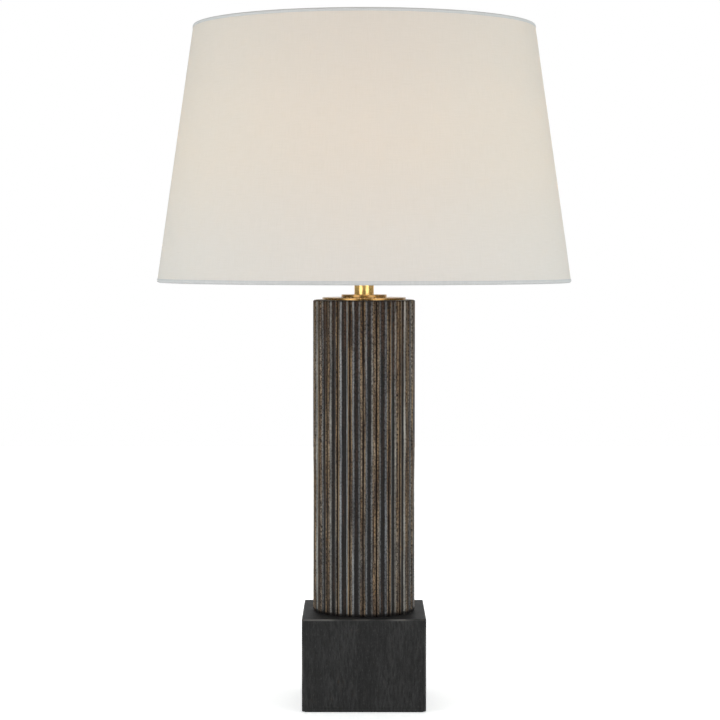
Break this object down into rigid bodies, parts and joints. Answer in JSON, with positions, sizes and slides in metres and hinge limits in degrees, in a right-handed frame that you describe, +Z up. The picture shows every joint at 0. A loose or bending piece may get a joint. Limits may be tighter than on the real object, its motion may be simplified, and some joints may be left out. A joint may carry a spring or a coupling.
{
  "type": "column table lamp",
  "caption": "Table lamp with a fluted wooden column on a square black plinth, brass collar and neck, harp and a tapered linen shade.",
  "frame": {"origin": "on the table surface, under the middle of the square plinth, where the column's axis meets it", "axes": "+Z up along the column, -Y towards the front where the switch knob is, +Y towards the back where the cord outlet and the shade's seam are, plinth sides along X and Y"},
  "size_m": [0.4333, 0.4334, 0.7135],
  "materials": {
    "felt": "black wool felt",
    "plain_wood": "unfinished plywood and softwood",
    "wood_screws": "zinc plated",
    "ebonised_wood": "black stained open grain, satin lacquer, edges slightly rubbed",
    "weight_iron": "rough cast, black paint",
    "outlet_plastic": "black moulded nylon",
    "zinc_steel": "zinc plated",
    "column_wood": "dark grey-black stain rubbed back to bronze brown on the lips of the flutes, low sheen",
    "antique_brass": "aged satin brass",
    "harp_brass": "brass plated steel wire, satin",
    "holder_brass": "polished and lacquered brass shell",
    "contact_brass": "bare brass",
    "sleeve_card": "brown pressed card",
    "moulded_black": "black moulded, semi-gloss",
    "stem_steel": "plain turned steel",
    "cap_aluminium": "bright rolled aluminium",
    "cap_insulator": "black vitrified glass",
    "contact_tin": "soldered tin",
    "frosted_glass": "frosted white, softly lit",
    "ring_steel": "white powder-coated wire",
    "shade_linen": "off-white fine linen on a stiff translucent backing",
    "trim_linen": "folded linen tape, cool off-white"
  },
  "bodies": {
    "base": {"felt_pad": "felt", "base_board": "plain_wood", "board_screws": "wood_screws", "corner_blocks": "plain_wood", "plinth_front": "ebonised_wood", "plinth_sides": "ebonised_wood", "plinth_back": "ebonised_wood", "plinth_top": "ebonised_wood", "base_weight": "weight_iron", "outlet_bushing": "outlet_plastic", "outlet_nut": "outlet_plastic", "threaded_rod": "zinc_steel", "rod_nut": "zinc_steel", "rod_lock_washer": "zinc_steel", "rod_washer": "zinc_steel", "lower_check_ring": "zinc_steel", "column": "column_wood", "upper_check_ring": "zinc_steel", "cap_plate": "antique_brass", "collar_plate": "antique_brass", "neck_tube": "antique_brass", "neck_washer": "antique_brass", "harp_saddle": "harp_brass", "saddle_lock_washer": "zinc_steel", "saddle_nut": "zinc_steel", "holder_cap": "holder_brass", "holder_set_screw": "zinc_steel", "holder_shell": "holder_brass", "holder_sleeve": "sleeve_card", "holder_body": "moulded_black", "terminal_screws": "contact_brass", "screw_shell": "contact_brass", "centre_contact": "contact_brass"},
    "switch": {"switch_stem": "stem_steel", "switch_knob": "moulded_black"},
    "bulb": {"bulb_contact": "contact_tin", "bulb_insulator": "cap_insulator", "bulb_cap": "cap_aluminium", "bulb_glass": "frosted_glass"},
    "harp_loop": {"harp": "harp_brass"},
    "ferrule_right": {"right_ferrule": "harp_brass"},
    "ferrule_left": {"left_ferrule": "harp_brass"},
    "swivel": {"harp_stud": "harp_brass"},
    "shade": {"spider": "harp_brass", "shade_top_ring": "ring_steel", "shade_bottom_ring": "ring_steel", "shade_panel": "shade_linen", "shade_top_trim": "trim_linen", "shade_bottom_trim": "trim_linen"},
    "finial_knob": {"finial": "antique_brass"}
  },
  "joints": [
    {"name": "switch_turn", "type": "hinge", "parent": "base", "child": "switch", "pos_m": [0, -0.02, 0.4976], "axis": [0, -1, 0], "continuous": true},
    {"name": "bulb_unscrew", "type": "slide", "parent": "base", "child": "bulb", "axis": [0, 0, 1], "range_m": [0, 0.028]},
    {"name": "harp_lift", "type": "slide", "parent": "base", "child": "harp_loop", "axis": [0, 0, 1], "range_m": [0, 0.03]},
    {"name": "ferrule_right_slide", "type": "slide", "parent": "harp_loop", "child": "ferrule_right", "axis": [0, 0, 1], "range_m": [0, 0.016]},
    {"name": "ferrule_left_slide", "type": "slide", "parent": "harp_loop", "child": "ferrule_left", "axis": [0, 0, 1], "range_m": [0, 0.016]},
    {"name": "shade_swivel", "type": "hinge", "parent": "harp_loop", "child": "swivel", "pos_m": [0, 0, 0.69], "axis": [0, 0, 1], "continuous": true},
    {"name": "shade_lift", "type": "slide", "parent": "swivel", "child": "shade", "axis": [0, 0, 1], "range_m": [0, 0.28]},
    {"name": "finial_unscrew", "type": "slide", "parent": "shade", "child": "finial_knob", "axis": [0, 0, 1], "range_m": [0, 0.012]}
  ]
}
